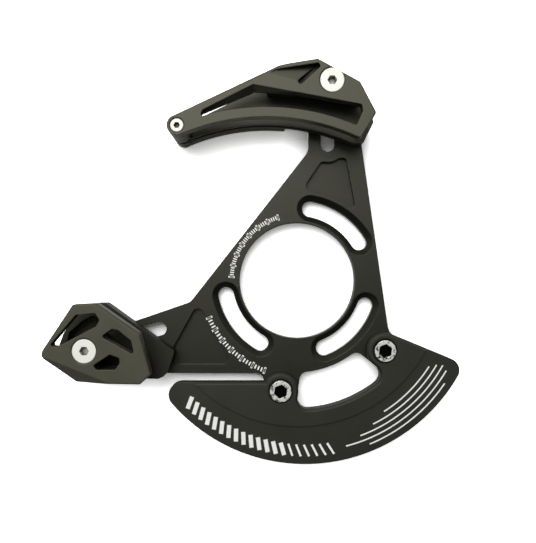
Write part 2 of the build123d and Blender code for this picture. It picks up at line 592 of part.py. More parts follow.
# Upper tip post: the spacer that keeps the two halves apart at the tip
with BuildPart() as upper_tip_post:
    with BuildSketch(UPPER.offset(inner_front)):
        with Locations(upper_tip):
            Circle(UPPER_TIP_RADIUS)
            Circle(TIP_BOLT_DIAMETER / 2 + HOLE_PLAY, mode=Mode.SUBTRACT)
    extrude(amount=CHANNEL_WIDTH)
upper_tip_post.part.label = "upper_tip_post"

# Upper tip insert: the threaded bush in the inner half that takes the tip bolt
with BuildPart() as upper_tip_insert:
    with BuildSketch(UPPER.offset(RIB_CLEARANCE)):
        with Locations(upper_tip):
            Circle(INSERT_DIAMETER / 2)
            Circle(TIP_BOLT_DIAMETER / 2 + HOLE_PLAY, mode=Mode.SUBTRACT)
    extrude(amount=INSERT_LENGTH)
upper_tip_insert.part.label = "upper_tip_insert"

# Upper tip bolt
with BuildPart() as upper_tip_bolt:
    tip_bolt_length = bolt_face - RIB_CLEARANCE - BOLT_TIP_INSET
    countersunk_bolt(
        tip_face, TIP_BOLT_DIAMETER, TIP_HEAD_DIAMETER, tip_bolt_length, TIP_HEXAGON, TIP_SOCKET_DEPTH
    )
upper_tip_bolt.part.label = "upper_tip_bolt"

# Upper clamp bolt and its square nut
clamp_bolt_length = bolt_face - BOLT_TIP_INSET
with BuildPart() as upper_clamp_bolt:
    countersunk_bolt(
        UPPER.offset(bolt_face), BOLT_DIAMETER, BOLT_HEAD_DIAMETER, clamp_bolt_length, BOLT_HEXAGON,
        BOLT_SOCKET_DEPTH,
    )
upper_clamp_bolt.part.label = "upper_clamp_bolt"

with BuildPart() as upper_square_nut:
    square_nut(UPPER_SLOT)
upper_square_nut.part.label = "upper_square_nut"

# Lower guide, outer half: a faceted plate with three cut-outs
with BuildPart() as lower_outer_plate:
    with BuildSketch(LOWER.offset(outer_back)) as lower_outline:
        with BuildLine():
            Polyline(*LOWER_OUTLINE, close=True)
        make_face()
        for outline_point in LOWER_OUTLINE[:-1]:
            fillet(corner(lower_outline, outline_point), LOWER_CORNER_RADIUS)
        fillet(corner(lower_outline, LOWER_OUTLINE[-1]), LOWER_LEFT_RADIUS)
        for cutout in LOWER_CUTOUTS:
            add(rounded_face(cutout, CUTOUT_CORNER_RADIUS), mode=Mode.SUBTRACT)
    extrude(amount=OUTER_THICKNESS)
    edge_bevels(LOWER.offset(outer_front), LOWER_OUTLINE)
    for facet_start, facet_end, facet_slope in LOWER_FACETS:
        facet(LOWER.offset(outer_front), facet_start, facet_end, facet_slope, FACET_REACH)
    countersunk_hole(LOWER.offset(outer_front), BOLT_DIAMETER, BOLT_HEAD_DIAMETER)
lower_outer_plate.part.label = "lower_outer_plate"

# Lower guide, inner half: a hollowed plate with a web along its foot that carries the outer half, and a key
with BuildPart() as lower_inner_plate:
    with BuildSketch(LOWER.offset(PLATE_THICKNESS)):
        add(rounded_face(LOWER_INNER_OUTLINE, LOWER_CORNER_RADIUS))
    extrude(amount=INNER_THICKNESS)
    with BuildSketch(LOWER.offset(inner_front)):
        with BuildLine():
            Polyline(*LOWER_HOLLOW, close=True)
        make_face()
        Circle(LOWER_BOSS_RADIUS, mode=Mode.SUBTRACT)
    extrude(amount=-LOWER_HOLLOW_DEPTH, mode=Mode.SUBTRACT)
    with BuildSketch(LOWER.offset(inner_front)):
        with BuildLine():
            Polyline(*LOWER_WEB, close=True)
        make_face()
    extrude(amount=CHANNEL_WIDTH)
    with BuildSketch(LOWER_SLOT.offset(PLATE_THICKNESS - KEY_DEPTH)):
        key_shape()
    extrude(amount=KEY_DEPTH)
    with BuildSketch(LOWER.offset(inner_front)):
        Circle(BOLT_DIAMETER / 2 + HOLE_PLAY)
    extrude(amount=-INNER_THICKNESS, mode=Mode.SUBTRACT)
lower_inner_plate.part.label = "lower_inner_plate"

# Lower bush: the smooth collar round the bolt that the chain runs over
with BuildPart() as lower_bush:
    with BuildSketch(LOWER.offset(inner_front)):
        Circle(BUSH_DIAMETER / 2)
        Circle(BOLT_DIAMETER / 2 + HOLE_PLAY, mode=Mode.SUBTRACT)
    extrude(amount=CHANNEL_WIDTH)
lower_bush.part.label = "lower_bush"

# Lower clamp bolt and its square nut
with BuildPart() as lower_clamp_bolt:
    countersunk_bolt(
        LOWER.offset(bolt_face), BOLT_DIAMETER, BOLT_HEAD_DIAMETER, clamp_bolt_length, BOLT_HEXAGON,
        BOLT_SOCKET_DEPTH,
    )
lower_clamp_bolt.part.label = "lower_clamp_bolt"

with BuildPart() as lower_square_nut:
    square_nut(LOWER_SLOT)
lower_square_nut.part.label = "lower_square_nut"

os.makedirs("parts", exist_ok=True)
export_step(backplate.part, "parts/backplate.step")
export_step(bash_guard.part, "parts/bash_guard.step")
export_step(guard_bolts.part, "parts/guard_bolts.step")
export_step(upper_outer_plate.part, "parts/upper_outer_plate.step")
export_step(upper_inner_plate.part, "parts/upper_inner_plate.step")
export_step(upper_tip_post.part, "parts/upper_tip_post.step")
export_step(upper_tip_insert.part, "parts/upper_tip_insert.step")
export_step(upper_tip_bolt.part, "parts/upper_tip_bolt.step")
export_step(upper_clamp_bolt.part, "parts/upper_clamp_bolt.step")
export_step(upper_square_nut.part, "parts/upper_square_nut.step")
export_step(lower_outer_plate.part, "parts/lower_outer_plate.step")
export_step(lower_inner_plate.part, "parts/lower_inner_plate.step")
export_step(lower_bush.part, "parts/lower_bush.step")
export_step(lower_clamp_bolt.part, "parts/lower_clamp_bolt.step")
export_step(lower_square_nut.part, "parts/lower_square_nut.step")
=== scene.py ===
"""Looks of a bicycle chain guide: finishes, print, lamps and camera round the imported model."""
from math import pi, radians

import bmesh
import bpy
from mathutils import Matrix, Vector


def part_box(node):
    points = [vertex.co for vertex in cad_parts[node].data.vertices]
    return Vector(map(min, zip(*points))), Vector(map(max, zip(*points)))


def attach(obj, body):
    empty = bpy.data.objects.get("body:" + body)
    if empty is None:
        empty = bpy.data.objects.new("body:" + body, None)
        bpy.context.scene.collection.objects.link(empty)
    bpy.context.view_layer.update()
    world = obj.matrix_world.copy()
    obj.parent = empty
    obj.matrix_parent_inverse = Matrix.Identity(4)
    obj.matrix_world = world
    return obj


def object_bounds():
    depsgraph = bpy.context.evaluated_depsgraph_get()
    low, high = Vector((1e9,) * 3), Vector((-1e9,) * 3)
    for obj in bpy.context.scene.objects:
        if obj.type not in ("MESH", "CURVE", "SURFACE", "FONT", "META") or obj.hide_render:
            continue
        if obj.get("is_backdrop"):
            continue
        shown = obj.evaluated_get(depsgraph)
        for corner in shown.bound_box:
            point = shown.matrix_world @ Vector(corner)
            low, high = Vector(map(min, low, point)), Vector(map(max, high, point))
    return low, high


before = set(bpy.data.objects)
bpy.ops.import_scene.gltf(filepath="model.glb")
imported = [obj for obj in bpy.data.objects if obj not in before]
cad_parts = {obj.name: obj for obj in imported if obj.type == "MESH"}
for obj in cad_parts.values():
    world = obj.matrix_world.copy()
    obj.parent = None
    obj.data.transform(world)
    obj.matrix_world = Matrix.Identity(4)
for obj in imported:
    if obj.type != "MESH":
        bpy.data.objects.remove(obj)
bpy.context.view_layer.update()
MM = 0.001
QUARTER_TURN = pi / 2

# The photograph's view: straight at the face of the backplate
PICTURE_LONG_SIDE = 543
FOCAL_PIXELS = 608.6
SENSOR_WIDTH = 36.0
CAMERA_PLACE = (-11.23 * MM, -238.1 * MM, 3.41 * MM)
CAMERA_NEAREST = 10 * MM

# White table close behind the part. Its tone lights the part, its seen tone and lift are for the camera,
# and its shine is for reflections. The lift and the shine fade in nooks as a painted shadow, and rays that
# have come no further than a touch go through, so that it doesn't darken the part's back
TABLE_GAP = 0.5 * MM
TABLE_SIZE = 3.0
TABLE_TONE = 0.5
TABLE_SEEN_TONE = 1.4
TABLE_SHINE = 0.15
TABLE_LIFT = 1.0
TABLE_TOUCH = 3 * MM
TABLE_SHADOW_REACH = 10 * MM
TABLE_SHADOW_POWER = 2.0
TABLE_SHADOW_SAMPLES = 12

# Pale floor further below, for the views from other sides
FLOOR_SIZE = 2 * TABLE_SIZE
FLOOR_DROP = 60 * MM
FLOOR_COLOUR = "#6e6e6c"
FLOOR_LIFT = 0.9

# Soft square lamps above the part's face and above its back: place and side in metres, power in watts
KEY_PLACE = (-0.24, -0.97, 0.58)
KEY_SIZE = 0.9
KEY_POWER = 14.5
REAR_PLACE = (0.2, 0.98, 0.5)
REAR_SIZE = 0.9
REAR_POWER = 13.0

# Room: its bright side, the heights towards that side between which it turns from dim to bright,
# its strength below and above, and the share of it that lights dull surfaces
ROOM_WHITE = "#ffffff"
ROOM_BRIGHT_SIDE = (-0.3, 0.0, 0.95)
ROOM_TURN = (-0.4, 0.3)
ROOM_BELOW = 0.07
ROOM_ABOVE = 0.8
ROOM_LIGHT = 0.2

# Round that a metal edge shows, and the painted shade that darkens nooks and sockets.
# Pairs are the openness at which the painted shade is darkest and at which it ends
EDGE_RADIUS = 0.3 * MM
EDGE_SAMPLES = 6
PAINTED_SHADE = "#080807"
SHADE_SAMPLES = 8
SHADE_REACH = 15 * MM
SHADE_OPEN = (0.3, 0.95)
SOCKET_SHADE_REACH = 2 * MM
SOCKET_SHADE_OPEN = (0.3, 0.8)

# Dark skins: tint of the shine, noise that varies the tone, noise of the grain, and how far an edge
# turns before it is painted lighter as a highlight
SHEEN_TINT = "#fbfbe6"
CLOUD_NOISE = {"Detail": 4.0, "Roughness": 0.6}
CLOUD_SPREAD = (0.3, 0.7)
GRAIN_NOISE = {"Detail": 2.0, "Roughness": 0.5}
GRAIN_STRENGTH = 0.4
HIGHLIGHT_TURN = (0.99, 0.8)
HIGHLIGHT_MOST = 0.7
DARK_SHINE_SPREAD = 0.06

# Bright metal: size of the stains and scuffs in millimetres
STAIN_NOISE = {"Detail": 3.0, "Roughness": 0.6}
STAIN_MM = 1.5
SCUFF_MM = 0.3
SCUFF_DEPTH = 0.01 * MM
SCUFF_STRENGTH = 0.3
BRIGHT_SHINE_SPREAD = 0.08

# Guard bolts: depth of the faced skin, and where it is worn through
GUARD_BOLT_FRONT = -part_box("guard_bolts")[0].y
FACE_SKIN = 0.1 * MM
FACE_WEAR_MM = 1.2
FACE_WEAR_SPREAD = (0.36, 0.5)
FACE_ROUGHNESS = (0.35, 0.6)

# White ink, and the faces that it lies on, measured outwards from the mounting face.
# The guard's outer band is stepped back from its front
INK_HEIGHT = 0.05 * MM
INK_SUNK = 0.02 * MM
INK_MOTTLE_MM = 0.8
INK_ROUGHNESS = 0.6
INK_SPECULAR = 0.3
PLATE_FRONT = -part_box("backplate")[0].y
GUARD_BAND_FRONT = 9.5 * MM

# White print: rows of flat marks along arcs, in millimetres and degrees. Centre of the arc across and up,
# its radius, its first and last angle, the count of marks, and each mark's width along the arc, height
# across it and slant
ARC_STEPS = 256
BORE = (0.0, 0.0)
RIM = (2.7, -2.6)
PLATE_ROWS = (
    (BORE, 25.2, 107, 177, 36, 0.45, 1.5, 0),
    (BORE, 25.2, 107, 177, 8, 0.7, 2.4, 0),
    (BORE, 36.7, 203, 250, 25, 0.55, 1.6, 0),
    (BORE, 36.7, 203, 250, 7, 0.8, 2.6, 0),
)
GUARD_BARS = (
    (RIM, 61.2, 225, 262, 14, 1.6, 4.8, 24),
    (RIM, 61.2, 264.8, 279, 6, 0.8, 4.8, 24),
)

# Thin lines along arcs near the guard's rim: radius, first and last angle
LINE_WIDTH = 0.5
LINE_OVERLAP = 1.03
GUARD_LINES = ((55.2, 303, 327), (57.3, 297, 329), (59.4, 291, 330), (61.5, 285, 329), (63.6, 293, 325))


def linear(hex_colour):
    """An sRGB hex colour as a linear one with alpha."""
    channels = []
    for start in (1, 3, 5):
        value = int(hex_colour[start : start + 2], 16) / 255
        channels.append(value / 12.92 if value <= 0.04045 else ((value + 0.055) / 1.055) ** 2.4)
    return (*channels, 1.0)


def per_metre(size_mm):
    """Texture scale at which one cell of a pattern is that many millimetres wide."""
    return 1 / (size_mm * MM)


def node(tree, kind, settings=None, inputs=None):
    """Adds a node. settings are its own values, inputs its sockets' values or outputs linked to them."""
    made = tree.nodes.new(kind)
    for name, value in (settings or {}).items():
        setattr(made, name, value)
    for name, value in (inputs or {}).items():
        if isinstance(value, bpy.types.NodeSocket):
            tree.links.new(value, made.inputs[name])
        else:
            made.inputs[name].default_value = value
    return made


def empty_material(name):
    """A material with no nodes yet. Returns it and its tree."""
    material = bpy.data.materials.new(name)
    material.use_nodes = True
    material.node_tree.nodes.clear()
    return material, material.node_tree


def dark_finish(name, low, high, edge, edge_mm, cloud_mm, grain_mm, grain_depth_mm, roughness, specular):
    """A dark satin skin: slow changes of tone, a fine grain, painted shade in nooks and edges painted
    lighter as a highlight.
    """
    material, tree = empty_material(name)
    place = node(tree, "ShaderNodeTexCoord").outputs["Object"]
    cloud = node(
        tree,
        "ShaderNodeTexNoise",
        inputs={"Vector": place, "Scale": per_metre(cloud_mm), **CLOUD_NOISE},
    ).outputs["Fac"]
    grain = node(
        tree,
        "ShaderNodeTexNoise",
        inputs={"Vector": place, "Scale": per_metre(grain_mm), **GRAIN_NOISE},
    ).outputs["Fac"]
    tone = node(
        tree,
        "ShaderNodeMapRange",
        inputs={"Value": cloud, "From Min": CLOUD_SPREAD[0], "From Max": CLOUD_SPREAD[1]},
    )
    skin = node(
        tree,
        "ShaderNodeMix",
        {"data_type": "RGBA"},
        {"Factor": tone.outputs["Result"], "A": linear(low), "B": linear(high)},
    )
    # Painted shade: the colour turns near black in nooks, where the part closes itself in
    shade_ao = node(tree, "ShaderNodeAmbientOcclusion", {"samples": SHADE_SAMPLES}, {"Distance": SHADE_REACH})
    unshaded = node(
        tree,
        "ShaderNodeMapRange",
        inputs={"Value": shade_ao.outputs["AO"], "From Min": SHADE_OPEN[0], "From Max": SHADE_OPEN[1]},
    )
    shaded_skin = node(
        tree,
        "ShaderNodeMix",
        {"data_type": "RGBA"},
        {"Factor": unshaded.outputs["Result"], "A": linear(PAINTED_SHADE), "B": skin.outputs["Result"]},
    )
    rounded = node(
        tree, "ShaderNodeBevel", {"samples": EDGE_SAMPLES}, {"Radius": edge_mm * MM}
    ).outputs["Normal"]
    flat = node(tree, "ShaderNodeNewGeometry").outputs["Normal"]
    turn = node(tree, "ShaderNodeVectorMath", {"operation": "DOT_PRODUCT"}, {0: rounded, 1: flat})
    # Painted highlight: edges, where the rounded normal turns away from the flat one, are painted paler
    painted_highlight = node(
        tree,
        "ShaderNodeMapRange",
        inputs={
            "Value": turn.outputs["Value"],
            "From Min": HIGHLIGHT_TURN[0],
            "From Max": HIGHLIGHT_TURN[1],
            "To Max": HIGHLIGHT_MOST,
        },
    )
    colour = node(
        tree,
        "ShaderNodeMix",
        {"data_type": "RGBA"},
        {"Factor": painted_highlight.outputs["Result"], "A": shaded_skin.outputs["Result"], "B": linear(edge)},
    )
    shine = node(
        tree,
        "ShaderNodeMapRange",
        inputs={
            "Value": cloud,
            "To Min": roughness - DARK_SHINE_SPREAD,
            "To Max": roughness + DARK_SHINE_SPREAD,
        },
    )
    relief = node(
        tree,
        "ShaderNodeBump",
        inputs={
            "Height": grain,
            "Distance": grain_depth_mm * MM,
            "Strength": GRAIN_STRENGTH,
            "Normal": rounded,
        },
    )
    shader = node(
        tree,
        "ShaderNodeBsdfPrincipled",
        inputs={
            "Base Color": colour.outputs["Result"],
            "Roughness": shine.outputs["Result"],
            "Specular IOR Level": specular,
            "Specular Tint": linear(SHEEN_TINT),
            "Normal": relief.outputs["Normal"],
        },
    )
    node(tree, "ShaderNodeOutputMaterial", inputs={"Surface": shader.outputs["BSDF"]})
    return material


def bright_metal(name, low, high, socket_shade, roughness):
    """Bright metal, with faint stains and scuffs, and painted shade that darkens its sockets."""
    material, tree = empty_material(name)
    place = node(tree, "ShaderNodeTexCoord").outputs["Object"]
    stain = node(
        tree,
        "ShaderNodeTexNoise",
        inputs={"Vector": place, "Scale": per_metre(STAIN_MM), **STAIN_NOISE},
    ).outputs["Fac"]
    clean = node(
        tree,
        "ShaderNodeMix",
        {"data_type": "RGBA"},
        {"Factor": stain, "A": linear(low), "B": linear(high)},
    )
    # Painted shade: the colour darkens in sockets and nooks, where the part closes itself in
    shade_ao = node(tree, "ShaderNodeAmbientOcclusion", {"samples": SHADE_SAMPLES}, {"Distance": SOCKET_SHADE_REACH})
    unshaded = node(
        tree,
        "ShaderNodeMapRange",
        inputs={"Value": shade_ao.outputs["AO"], "From Min": SOCKET_SHADE_OPEN[0], "From Max": SOCKET_SHADE_OPEN[1]},
    )
    skin = node(
        tree,
        "ShaderNodeMix",
        {"data_type": "RGBA"},
        {"Factor": unshaded.outputs["Result"], "A": linear(socket_shade), "B": clean.outputs["Result"]},
    )
    shine = node(
        tree,
        "ShaderNodeMapRange",
        inputs={
            "Value": stain,
            "To Min": roughness - BRIGHT_SHINE_SPREAD,
            "To Max": roughness + BRIGHT_SHINE_SPREAD,
        },
    )
    rounded = node(
        tree, "ShaderNodeBevel", {"samples": EDGE_SAMPLES}, {"Radius": EDGE_RADIUS}
    ).outputs["Normal"]
    scuff = node(
        tree,
        "ShaderNodeTexNoise",
        inputs={"Vector": place, "Scale": per_metre(SCUFF_MM), **GRAIN_NOISE},
    )
    relief = node(
        tree,
        "ShaderNodeBump",
        inputs={
            "Height": scuff.outputs["Fac"],
            "Distance": SCUFF_DEPTH,
            "Strength": SCUFF_STRENGTH,
            "Normal": rounded,
        },
    )
    shader = node(
        tree,
        "ShaderNodeBsdfPrincipled",
        inputs={
            "Base Color": skin.outputs["Result"],
            "Metallic": 1.0,
            "Roughness": shine.outputs["Result"],
            "Normal": relief.outputs["Normal"],
        },
    )
    node(tree, "ShaderNodeOutputMaterial", inputs={"Surface": shader.outputs["BSDF"]})
    return material


def faced_bolt(name, shade_colour, bright, face_height):
    """Steel whose front faces are bright, with a near-black colour on every face behind them as painted
    shade for the socket and the head's sides.
    """
    material, tree = empty_material(name)
    place = node(tree, "ShaderNodeTexCoord").outputs["Object"]
    across = node(tree, "ShaderNodeSeparateXYZ", inputs={"Vector": place}).outputs["Y"]
    faced = node(tree, "ShaderNodeMath", {"operation": "LESS_THAN"}, {0: across, 1: -face_height})
    stain = node(
        tree,
        "ShaderNodeTexNoise",
        inputs={"Vector": place, "Scale": per_metre(FACE_WEAR_MM), **STAIN_NOISE},
    ).outputs["Fac"]
    worn = node(
        tree,
        "ShaderNodeMapRange",
        inputs={"Value": stain, "From Min": FACE_WEAR_SPREAD[0], "From Max": FACE_WEAR_SPREAD[1]},
    )
    bared = node(
        tree,
        "ShaderNodeMath",
        {"operation": "MULTIPLY"},
        {0: faced.outputs[0], 1: worn.outputs["Result"]},
    )
    # Painted shade: every face behind the bright front face takes the near-black colour
    skin = node(
        tree,
        "ShaderNodeMix",
        {"data_type": "RGBA"},
        {"Factor": bared.outputs[0], "A": linear(shade_colour), "B": linear(bright)},
    )
    shine = node(
        tree,
        "ShaderNodeMapRange",
        inputs={"Value": stain, "To Min": FACE_ROUGHNESS[0], "To Max": FACE_ROUGHNESS[1]},
    )
    rounded = node(
        tree, "ShaderNodeBevel", {"samples": EDGE_SAMPLES}, {"Radius": EDGE_RADIUS}
    ).outputs["Normal"]
    shader = node(
        tree,
        "ShaderNodeBsdfPrincipled",
        inputs={
            "Base Color": skin.outputs["Result"],
            "Metallic": 1.0,
            "Roughness": shine.outputs["Result"],
            "Normal": rounded,
        },
    )
    node(tree, "ShaderNodeOutputMaterial", inputs={"Surface": shader.outputs["BSDF"]})
    return material


def screen_ink(name, low, high):
    """Opaque screen ink: matt, with the slight mottle of a thin coat."""
    material, tree = empty_material(name)
    place = node(tree, "ShaderNodeTexCoord").outputs["Object"]
    mottle = node(
        tree,
        "ShaderNodeTexNoise",
        inputs={"Vector": place, "Scale": per_metre(INK_MOTTLE_MM), **STAIN_NOISE},
    ).outputs["Fac"]
    coat = node(
        tree,
        "ShaderNodeMix",
        {"data_type": "RGBA"},
        {"Factor": mottle, "A": linear(low), "B": linear(high)},
    )
    shader = node(
        tree,
        "ShaderNodeBsdfPrincipled",
        inputs={
            "Base Color": coat.outputs["Result"],
            "Roughness": INK_ROUGHNESS,
            "Specular IOR Level": INK_SPECULAR,
        },
    )
    node(tree, "ShaderNodeOutputMaterial", inputs={"Surface": shader.outputs["BSDF"]})
    return material


# Black anodised aluminium, blasted before dyeing: a fine even grain, a soft sheen and edges painted paler
# as a highlight.
# The blasting's real grain is too fine to show, so it is drawn about three times as coarse
anodised_aluminium = dark_finish(
    "anodised_aluminium",
    low="#10100c",
    high="#15150f",
    edge="#272721",
    edge_mm=0.3,
    cloud_mm=14.0,
    grain_mm=0.3,
    grain_depth_mm=0.03,
    roughness=0.42,
    specular=0.38,
)
# Moulded nylon with glass fibre: a satin skin from a spark-eroded mould, paler and greener than the plate
moulded_nylon = dark_finish(
    "moulded_nylon",
    low="#38382d",
    high="#3f3f34",
    edge="#45453b",
    edge_mm=0.45,
    cloud_mm=10.0,
    grain_mm=0.4,
    grain_depth_mm=0.04,
    roughness=0.5,
    specular=0.42,
)
# The same nylon painted darker as painted shade, for the half that sits deep behind the lower guide in its
# shadow
shaded_nylon = dark_finish(
    "shaded_nylon",
    low="#131310",
    high="#181814",
    edge="#2c2c27",
    edge_mm=0.3,
    cloud_mm=10.0,
    grain_mm=0.4,
    grain_depth_mm=0.04,
    roughness=0.5,
    specular=0.3,
)
# Glass-filled nylon for the guard: dull, and nearly as dark as the plate
guard_nylon = dark_finish(
    "guard_nylon",
    low="#191916",
    high="#1e1e1b",
    edge="#3c3d36",
    edge_mm=0.3,
    cloud_mm=12.0,
    grain_mm=0.4,
    grain_depth_mm=0.04,
    roughness=0.5,
    specular=0.42,
)
# Turned acetal: smooth and deep black
black_acetal = dark_finish(
    "black_acetal",
    low="#101010",
    high="#141414",
    edge="#202020",
    edge_mm=0.3,
    cloud_mm=8.0,
    grain_mm=0.8,
    grain_depth_mm=0.01,
    roughness=0.35,
    specular=0.3,
)
# Zinc-plated steel: bright, dull and slightly warm
zinc_plated_steel = bright_metal(
    "zinc_plated_steel", low="#dddcd5", high="#e9e8e2", socket_shade="#45443f", roughness=0.77
)
# Steel for the guard's bolts, with a bright ring where the head was faced and painted shade in near black
# on its deeper faces
faced_steel_with_painted_shade = faced_bolt(
    "faced_steel_with_painted_shade", shade_colour="#0c0c0b", bright="#dddcd6", face_height=GUARD_BOLT_FRONT - FACE_SKIN
)
# Turned brass for the threaded bush: yellow and shiny
turned_brass = bright_metal("turned_brass", low="#b8924c", high="#cfa95f", socket_shade="#4a3a1c", roughness=0.3)
# White two-part screen ink: matt and opaque
white_screen_ink = screen_ink("white_screen_ink", low="#e9e9e6", high="#f6f6f4")

finishes = {
    "backplate": anodised_aluminium,
    "bash_guard": guard_nylon,
    "guard_bolts": faced_steel_with_painted_shade,
    "upper_outer_plate": moulded_nylon,
    "upper_inner_plate": moulded_nylon,
    "upper_tip_post": moulded_nylon,
    "upper_tip_insert": turned_brass,
    "upper_tip_bolt": zinc_plated_steel,
    "upper_clamp_bolt": zinc_plated_steel,
    "upper_square_nut": zinc_plated_steel,
    "lower_outer_plate": moulded_nylon,
    "lower_inner_plate": shaded_nylon,
    "lower_bush": black_acetal,
    "lower_clamp_bolt": zinc_plated_steel,
    "lower_square_nut": zinc_plated_steel,
}
for node_name, finish in finishes.items():
    for material_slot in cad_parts[node_name].material_slots:
        material_slot.material = finish


def mark_row_tree():
    """Geometry nodes that lay a row of flat marks along an arc on a front face."""
    tree = bpy.data.node_groups.new("mark_row", "GeometryNodeTree")
    for name in ("Radius", "Start", "Sweep", "Width", "Height", "Depth", "Slant"):
        tree.interface.new_socket(name, in_out="INPUT", socket_type="NodeSocketFloat")
    tree.interface.new_socket("Count", in_out="INPUT", socket_type="NodeSocketInt")
    tree.interface.new_socket("Centre", in_out="INPUT", socket_type="NodeSocketVector")
    tree.interface.new_socket("Ink", in_out="INPUT", socket_type="NodeSocketMaterial")
    tree.interface.new_socket("Geometry", in_out="OUTPUT", socket_type="NodeSocketGeometry")
    size = node(tree, "NodeGroupInput").outputs
    arc = node(
        tree,
        "GeometryNodeCurveArc",
        {"mode": "RADIUS"},
        {
            "Resolution": ARC_STEPS,
            "Radius": size["Radius"],
            "Start Angle": size["Start"],
            "Sweep Angle": size["Sweep"],
        },
    )
    places = node(
        tree,
        "GeometryNodeCurveToPoints",
        {"mode": "COUNT"},
        {"Curve": arc.outputs["Curve"], "Count": size["Count"]},
    )
    along = node(
        tree,
        "FunctionNodeAlignRotationToVector",
        {"axis": "X", "pivot_axis": "Z"},
        {"Vector": places.outputs["Tangent"]},
    )
    slant = node(tree, "ShaderNodeCombineXYZ", inputs={"Z": size["Slant"]})
    turn = node(
        tree,
        "FunctionNodeRotateRotation",
        {"rotation_space": "LOCAL"},
        {"Rotation": along.outputs["Rotation"], "Rotate By": slant.outputs["Vector"]},
    )
    block = node(
        tree,
        "ShaderNodeCombineXYZ",
        inputs={"X": size["Width"], "Y": size["Height"], "Z": size["Depth"]},
    )
    mark = node(tree, "GeometryNodeMeshCube", inputs={"Size": block.outputs["Vector"]})
    marks = node(
        tree,
        "GeometryNodeInstanceOnPoints",
        inputs={
            "Points": places.outputs["Points"],
            "Instance": mark.outputs["Mesh"],
            "Rotation": turn.outputs["Rotation"],
        },
    )
    stood_up = node(
        tree,
        "GeometryNodeTransform",
        inputs={
            "Geometry": marks.outputs["Instances"],
            "Translation": size["Centre"],
            "Rotation": (QUARTER_TURN, 0, 0),
        },
    )
    solid = node(tree, "GeometryNodeRealizeInstances", inputs={"Geometry": stood_up.outputs["Geometry"]})
    inked = node(
        tree,
        "GeometryNodeSetMaterial",
        inputs={"Geometry": solid.outputs["Geometry"], "Material": size["Ink"]},
    )
    node(tree, "NodeGroupOutput", inputs={"Geometry": inked.outputs["Geometry"]})
    return tree


def line_row(radius, first, last):
    """A thin line along an arc near the guard's rim, as a row of marks that touch, about one a degree."""
    count = round(last - first) + 1
    spacing = radius * radians(last - first) / (count - 1)
    return (RIM, radius, first, last, count, spacing * LINE_OVERLAP, LINE_WIDTH, 0)


def printed_row(tree, front, row):
    """The mesh of one printed row on a face that lies so far in front of the mounting face."""
    centre, radius, first, last, count, width, height, slant = row
    middle = front + (INK_HEIGHT - INK_SUNK) / 2
    values = {
        "Radius": radius * MM,
        "Start": radians(first),
        "Sweep": radians(last - first),
        "Width": width * MM,
        "Height": height * MM,
        "Depth": INK_HEIGHT + INK_SUNK,
        "Slant": radians(slant),
        "Count": count,
        "Centre": (centre[0] * MM, -middle, centre[1] * MM),
        "Ink": white_screen_ink,
    }
    holder = bpy.data.objects.new("row", bpy.data.meshes.new("row"))
    bpy.context.scene.collection.objects.link(holder)
    modifier = holder.modifiers.new("marks", "NODES")
    modifier.node_group = tree
    for socket in tree.interface.items_tree:
        if socket.in_out == "INPUT":
            modifier[socket.identifier] = values[socket.name]
    depsgraph = bpy.context.evaluated_depsgraph_get()
    mesh = bpy.data.meshes.new_from_object(holder.evaluated_get(depsgraph))
    bpy.data.objects.remove(holder)
    return mesh


def white_print():
    """The print on the backplate and on the guard's outer band, as one thin piece."""
    tree = mark_row_tree()
    rows = [(PLATE_FRONT, row) for row in PLATE_ROWS]
    rows += [(GUARD_BAND_FRONT, row) for row in GUARD_BARS]
    rows += [(GUARD_BAND_FRONT, line_row(*line)) for line in GUARD_LINES]
    joined = bmesh.new()
    for front, row in rows:
        joined.from_mesh(printed_row(tree, front, row))
    mesh = bpy.data.meshes.new("white_print")
    joined.to_mesh(mesh)
    joined.free()
    mesh.materials.append(white_screen_ink)
    piece = bpy.data.objects.new("white_print", mesh)
    bpy.context.scene.collection.objects.link(piece)
    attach(piece, "backplate_body")


def seen_rays(tree):
    """Light Path's outputs, and 1 for rays that show a background: from the camera, a shine or glass."""
    path = node(tree, "ShaderNodeLightPath").outputs
    shown = node(
        tree,
        "ShaderNodeMath",
        {"operation": "MAXIMUM"},
        {0: path["Is Camera Ray"], 1: path["Is Glossy Ray"]},
    )
    seen = node(
        tree,
        "ShaderNodeMath",
        {"operation": "MAXIMUM"},
        {0: shown.outputs[0], 1: path["Is Transmission Ray"]},
    )
    return path, seen.outputs[0]


